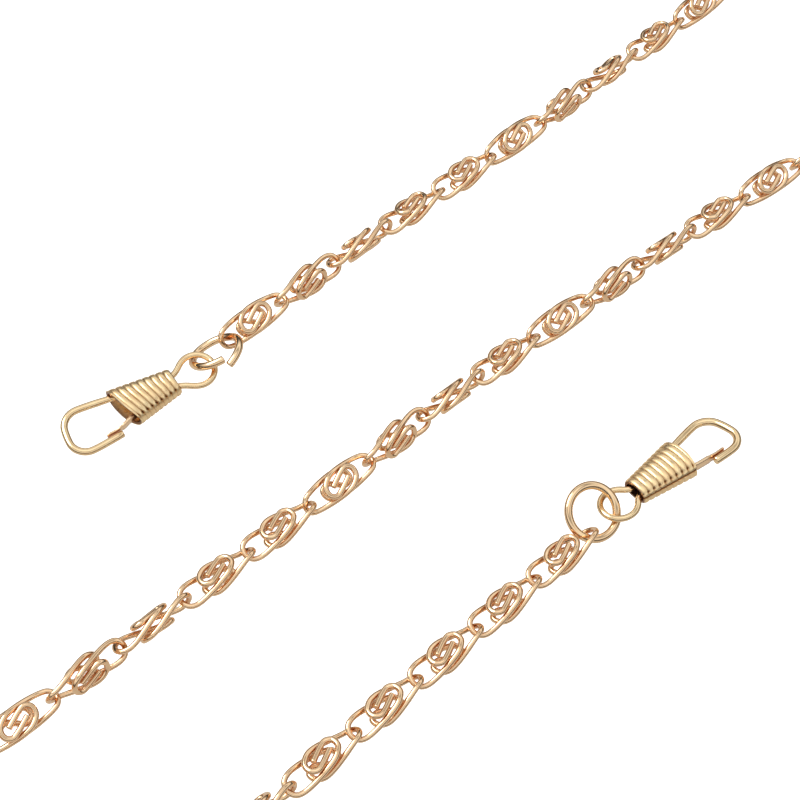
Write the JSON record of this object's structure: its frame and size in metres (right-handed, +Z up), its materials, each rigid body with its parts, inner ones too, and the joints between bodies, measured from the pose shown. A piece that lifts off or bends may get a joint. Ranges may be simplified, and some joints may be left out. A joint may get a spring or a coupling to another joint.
{
  "type": "pocket watch chain",
  "caption": "Fine scroll-link watch chain with a jump ring and a spring-gate snap clasp at each end, laid out flat in three runs.",
  "frame": {"origin": "on the floor plane, under the middle of the middle run of links", "axes": "+X along the middle run towards the turn that joins it to the upper run, +Y level across the runs towards the run with clasp A, +Z up from the floor"},
  "size_m": [0.1976, 0.0626, 0.0054],
  "materials": {
    "link_wire": "polished rose-gold plate",
    "jump_ring_wire": "polished gold plate",
    "clasp_sleeve": "satin gold plate",
    "clasp_wire": "polished gold plate",
    "clasp_gate": "polished gold plate"
  },
  "bodies": {
    "link_25": {"link_25": "link_wire"},
    "link_24": {"link_24": "link_wire"},
    "link_23": {"link_23": "link_wire"},
    "link_22": {"link_22": "link_wire"},
    "link_21": {"link_21": "link_wire"},
    "link_20": {"link_20": "link_wire"},
    "link_19": {"link_19": "link_wire"},
    "link_18": {"link_18": "link_wire"},
    "link_17": {"link_17": "link_wire"},
    "link_16": {"link_16": "link_wire"},
    "link_15": {"link_15": "link_wire"},
    "link_14": {"link_14": "link_wire"},
    "link_13": {"link_13": "link_wire"},
    "link_12": {"link_12": "link_wire"},
    "link_11": {"link_11": "link_wire"},
    "link_10": {"link_10": "link_wire"},
    "link_09": {"link_09": "link_wire"},
    "link_08": {"link_08": "link_wire"},
    "link_07": {"link_07": "link_wire"},
    "link_06": {"link_06": "link_wire"},
    "link_05": {"link_05": "link_wire"},
    "link_04": {"link_04": "link_wire"},
    "link_03": {"link_03": "link_wire"},
    "link_02": {"link_02": "link_wire"},
    "link_01": {"link_01": "link_wire"},
    "jump_ring_a": {"jump_ring_a": "jump_ring_wire"},
    "clasp_a": {"clasp_a_sleeve": "clasp_sleeve", "clasp_a_wire": "clasp_wire"},
    "clasp_a_gate": {"clasp_a_gate": "clasp_gate"},
    "link_26": {"link_26": "link_wire"},
    "link_27": {"link_27": "link_wire"},
    "link_28": {"link_28": "link_wire"},
    "link_29": {"link_29": "link_wire"},
    "link_30": {"link_30": "link_wire"},
    "link_31": {"link_31": "link_wire"},
    "link_32": {"link_32": "link_wire"},
    "link_33": {"link_33": "link_wire"},
    "link_34": {"link_34": "link_wire"},
    "link_35": {"link_35": "link_wire"},
    "link_36": {"link_36": "link_wire"},
    "link_37": {"link_37": "link_wire"},
    "link_38": {"link_38": "link_wire"},
    "link_39": {"link_39": "link_wire"},
    "link_40": {"link_40": "link_wire"},
    "link_41": {"link_41": "link_wire"},
    "link_42": {"link_42": "link_wire"},
    "link_43": {"link_43": "link_wire"},
    "link_44": {"link_44": "link_wire"},
    "jump_ring_b": {"jump_ring_b": "jump_ring_wire"},
    "clasp_b": {"clasp_b_sleeve": "clasp_sleeve", "clasp_b_wire": "clasp_wire"},
    "clasp_b_gate": {"clasp_b_gate": "clasp_gate"}
  },
  "joints": [
    {"name": "link_24_swing", "type": "hinge", "parent": "link_25", "child": "link_24", "pos_m": [-0.00312, -0.00038, 0.00209], "axis": [-0.01, -0.9779, -0.2088], "range_deg": [-45, 45]},
    {"name": "link_23_swing", "type": "hinge", "parent": "link_24", "child": "link_23", "pos_m": [0.00808, -0.00049, 0.00209], "axis": [0.0071, 0.6939, -0.72], "range_deg": [-45, 45]},
    {"name": "link_22_swing", "type": "hinge", "parent": "link_23", "child": "link_22", "pos_m": [0.01785, -0.0007, 0.00209], "axis": [0.0205, 0.9996, -0.0184], "range_deg": [-45, 45]},
    {"name": "link_21_swing", "type": "hinge", "parent": "link_22", "child": "link_21", "pos_m": [0.02637, -0.00096, 0.00209], "axis": [-0.0369, -0.8384, 0.5438], "range_deg": [-45, 45]},
    {"name": "link_20_swing", "type": "hinge", "parent": "link_21", "child": "link_20", "pos_m": [0.03647, -0.0014, 0.00209], "axis": [0.0516, 0.9766, 0.2088], "range_deg": [-45, 45]},
    {"name": "link_19_swing", "type": "hinge", "parent": "link_20", "child": "link_19", "pos_m": [0.04766, -0.00199, 0.00209], "axis": [-0.0366, -0.693, 0.72], "range_deg": [-45, 45]},
    {"name": "link_18_swing", "type": "hinge", "parent": "link_19", "child": "link_18", "pos_m": [0.05775, -0.00262, 0.00209], "axis": [0.0615, 0.9979, -0.0184], "range_deg": [-45, 45]},
    {"name": "link_17_swing", "type": "hinge", "parent": "link_18", "child": "link_17", "pos_m": [0.06669, -0.00259, 0.00209], "axis": [0, -0.9566, 0.2915], "range_deg": [-45, 45]},
    {"name": "link_16_swing", "type": "hinge", "parent": "link_17", "child": "link_16", "pos_m": [0.0767, -0.00265, 0.00209], "axis": [0.0861, -0.7934, -0.6026], "range_deg": [-45, 45]},
    {"name": "link_15_swing", "type": "hinge", "parent": "link_16", "child": "link_15", "pos_m": [0.08784, -0.00144, 0.00209], "axis": [-0.1007, 0.9278, -0.3593], "range_deg": [-45, 45]},
    {"name": "link_14_swing", "type": "hinge", "parent": "link_15", "child": "link_14", "pos_m": [0.09542, 0.00513, 0.00209], "axis": [0.5286, -0.6518, -0.5438], "range_deg": [-45, 45]},
    {"name": "link_13_swing", "type": "hinge", "parent": "link_14", "child": "link_13", "pos_m": [0.09771, 0.01365, 0.00209], "axis": [-0.8836, -0.3356, 0.3265], "range_deg": [-45, 45]},
    {"name": "link_12_swing", "type": "hinge", "parent": "link_13", "child": "link_12", "pos_m": [0.09374, 0.02412, 0.00209], "axis": [0.726, 0.2757, 0.6301], "range_deg": [-45, 45]},
    {"name": "link_11_swing", "type": "hinge", "parent": "link_12", "child": "link_11", "pos_m": [0.08516, 0.0293, 0.00209], "axis": [0.5309, 0.8073, -0.2579], "range_deg": [-45, 45]},
    {"name": "link_10_swing", "type": "hinge", "parent": "link_11", "child": "link_10", "pos_m": [0.07626, 0.02954, 0.00209], "axis": [0.0556, -0.9983, 0.0184], "range_deg": [-45, 45]},
    {"name": "link_09_swing", "type": "hinge", "parent": "link_10", "child": "link_09", "pos_m": [0.06618, 0.02898, 0.00209], "axis": [-0.0332, 0.6932, -0.72], "range_deg": [-45, 45]},
    {"name": "link_08_swing", "type": "hinge", "parent": "link_09", "child": "link_08", "pos_m": [0.05499, 0.02844, 0.00209], "axis": [-0.0468, 0.9768, 0.2088], "range_deg": [-45, 45]},
    {"name": "link_07_swing", "type": "hinge", "parent": "link_08", "child": "link_07", "pos_m": [0.04491, 0.02804, 0.00209], "axis": [0.0386, -0.9607, 0.2747], "range_deg": [-45, 45]},
    {"name": "link_06_swing", "type": "hinge", "parent": "link_07", "child": "link_06", "pos_m": [0.03594, 0.02775, 0.00209], "axis": [-0.0247, 0.9943, 0.1036], "range_deg": [-45, 45]},
    {"name": "link_05_swing", "type": "hinge", "parent": "link_06", "child": "link_05", "pos_m": [0.02585, 0.0275, 0.00209], "axis": [0.0141, -0.8284, 0.56], "range_deg": [-45, 45]},
    {"name": "link_04_swing", "type": "hinge", "parent": "link_05", "child": "link_04", "pos_m": [0.01466, 0.0273, 0.00209], "axis": [0.0156, -0.913, -0.4076], "range_deg": [-45, 45]},
    {"name": "link_03_swing", "type": "hinge", "parent": "link_04", "child": "link_03", "pos_m": [0.00474, 0.02733, 0.00209], "axis": [0.0013, 0.9875, 0.1574], "range_deg": [-45, 45]},
    {"name": "link_02_swing", "type": "hinge", "parent": "link_03", "child": "link_02", "pos_m": [-0.00501, 0.02721, 0.00209], "axis": [0.0097, -0.8391, 0.5438], "range_deg": [-45, 45]},
    {"name": "link_01_swing", "type": "hinge", "parent": "link_02", "child": "link_01", "pos_m": [-0.01332, 0.027, 0.00209], "axis": [-0.0371, 0.9991, -0.0184], "range_deg": [-45, 45]},
    {"name": "jump_ring_a_swing", "type": "hinge", "parent": "link_01", "child": "jump_ring_a", "pos_m": [-0.02341, 0.02715, 0.0017], "axis": [-0.5329, 0.6963, -0.4807], "range_deg": [-45, 45]},
    {"name": "clasp_a_swing", "type": "hinge", "parent": "jump_ring_a", "child": "clasp_a", "pos_m": [-0.02963, 0.02499, 0.00278], "axis": [0.1746, -0.8212, 0.5432], "range_deg": [-30, 45]},
    {"name": "clasp_a_gate_press", "type": "hinge", "parent": "clasp_a", "child": "clasp_a_gate", "pos_m": [-0.03993, 0.02452, 0.00244], "axis": [-0.0159, -0.1208, 0.9925], "range_deg": [-30, 0]},
    {"name": "link_26_swing", "type": "hinge", "parent": "link_25", "child": "link_26", "pos_m": [-0.0129, -0.00039, 0.00209], "axis": [0, -0.8392, 0.5438], "range_deg": [-45, 45]},
    {"name": "link_27_swing", "type": "hinge", "parent": "link_26", "child": "link_27", "pos_m": [-0.02168, -0.0008, 0.00209], "axis": [-0.0347, 0.9992, -0.0184], "range_deg": [-45, 45]},
    {"name": "link_28_swing", "type": "hinge", "parent": "link_27", "child": "link_28", "pos_m": [-0.03173, -0.00115, 0.00209], "axis": [-0.0206, 0.7763, -0.6301], "range_deg": [-45, 45]},
    {"name": "link_29_swing", "type": "hinge", "parent": "link_28", "child": "link_29", "pos_m": [-0.04293, -0.00145, 0.00209], "axis": [0.0251, -0.9449, -0.3265], "range_deg": [-45, 45]},
    {"name": "link_30_swing", "type": "hinge", "parent": "link_29", "child": "link_30", "pos_m": [-0.05299, -0.00163, 0.00209], "axis": [-0.0179, 0.9699, 0.2428], "range_deg": [-45, 45]},
    {"name": "link_31_swing", "type": "hinge", "parent": "link_30", "child": "link_31", "pos_m": [-0.06304, -0.00173, 0.00209], "axis": [0.0091, -0.875, 0.484], "range_deg": [-45, 45]},
    {"name": "link_32_swing", "type": "hinge", "parent": "link_31", "child": "link_32", "pos_m": [-0.07196, -0.00175, 0.00209], "axis": [-0.0059, -0.9998, 0.0184], "range_deg": [-45, 45]},
    {"name": "link_33_swing", "type": "hinge", "parent": "link_32", "child": "link_33", "pos_m": [-0.08194, -0.00151, 0.00209], "axis": [-0.1766, 0.6447, -0.7438], "range_deg": [-45, 45]},
    {"name": "link_34_swing", "type": "hinge", "parent": "link_33", "child": "link_34", "pos_m": [-0.09274, -0.00447, 0.00209], "axis": [-0.2602, 0.9497, 0.1746], "range_deg": [-45, 45]},
    {"name": "link_35_swing", "type": "hinge", "parent": "link_34", "child": "link_35", "pos_m": [-0.09789, -0.01306, 0.00209], "axis": [0.6664, -0.4412, 0.6011], "range_deg": [-45, 35]},
    {"name": "link_36_swing", "type": "hinge", "parent": "link_35", "child": "link_36", "pos_m": [-0.09666, -0.02178, 0.00209], "axis": [-0.6395, -0.7525, -0.1574], "range_deg": [-45, 45]},
    {"name": "link_37_swing", "type": "hinge", "parent": "link_36", "child": "link_37", "pos_m": [-0.08812, -0.02903, 0.00209], "axis": [0.4244, 0.4994, -0.7553], "range_deg": [-45, 45]},
    {"name": "link_38_swing", "type": "hinge", "parent": "link_37", "child": "link_38", "pos_m": [-0.07808, -0.02943, 0.00209], "axis": [0.08, 0.9961, -0.0359], "range_deg": [-45, 45]},
    {"name": "link_39_swing", "type": "hinge", "parent": "link_38", "child": "link_39", "pos_m": [-0.06921, -0.02939, 0.00209], "axis": [0, -0.8665, 0.4992], "range_deg": [-45, 45]},
    {"name": "link_40_swing", "type": "hinge", "parent": "link_39", "child": "link_40", "pos_m": [-0.05914, -0.02941, 0.00209], "axis": [-0.0428, 0.9442, 0.3265], "range_deg": [-45, 45]},
    {"name": "link_41_swing", "type": "hinge", "parent": "link_40", "child": "link_41", "pos_m": [-0.04906, -0.02895, 0.00209], "axis": [0.0399, -0.9602, -0.2766], "range_deg": [-35, 35]},
    {"name": "link_42_swing", "type": "hinge", "parent": "link_41", "child": "link_42", "pos_m": [-0.03898, -0.02853, 0.00209], "axis": [0.0362, -0.9603, -0.2766], "range_deg": [-35, 35]},
    {"name": "link_43_swing", "type": "hinge", "parent": "link_42", "child": "link_43", "pos_m": [-0.0289, -0.02815, 0.00209], "axis": [-0.0329, 0.9695, 0.2428], "range_deg": [-35, 35]},
    {"name": "link_44_swing", "type": "hinge", "parent": "link_43", "child": "link_44", "pos_m": [-0.01882, -0.02781, 0.00209], "axis": [0.0294, -0.9775, -0.2088], "range_deg": [-35, 35]},
    {"name": "jump_ring_b_swing", "type": "hinge", "parent": "link_44", "child": "jump_ring_b", "pos_m": [-0.00831, -0.02819, 0.00138], "axis": [-0.825, 0.4782, 0.3011], "range_deg": [-45, 25]},
    {"name": "clasp_b_swing", "type": "hinge", "parent": "jump_ring_b", "child": "clasp_b", "pos_m": [-0.00317, -0.02683, 0.00243], "axis": [0.3215, 0.781, 0.5354], "range_deg": [-20, 45]},
    {"name": "clasp_b_gate_press", "type": "hinge", "parent": "clasp_b", "child": "clasp_b_gate", "pos_m": [0.00626, -0.02883, 0.0027], "axis": [-0.0061, -0.1735, -0.9848], "range_deg": [-30, 0]}
  ]
}
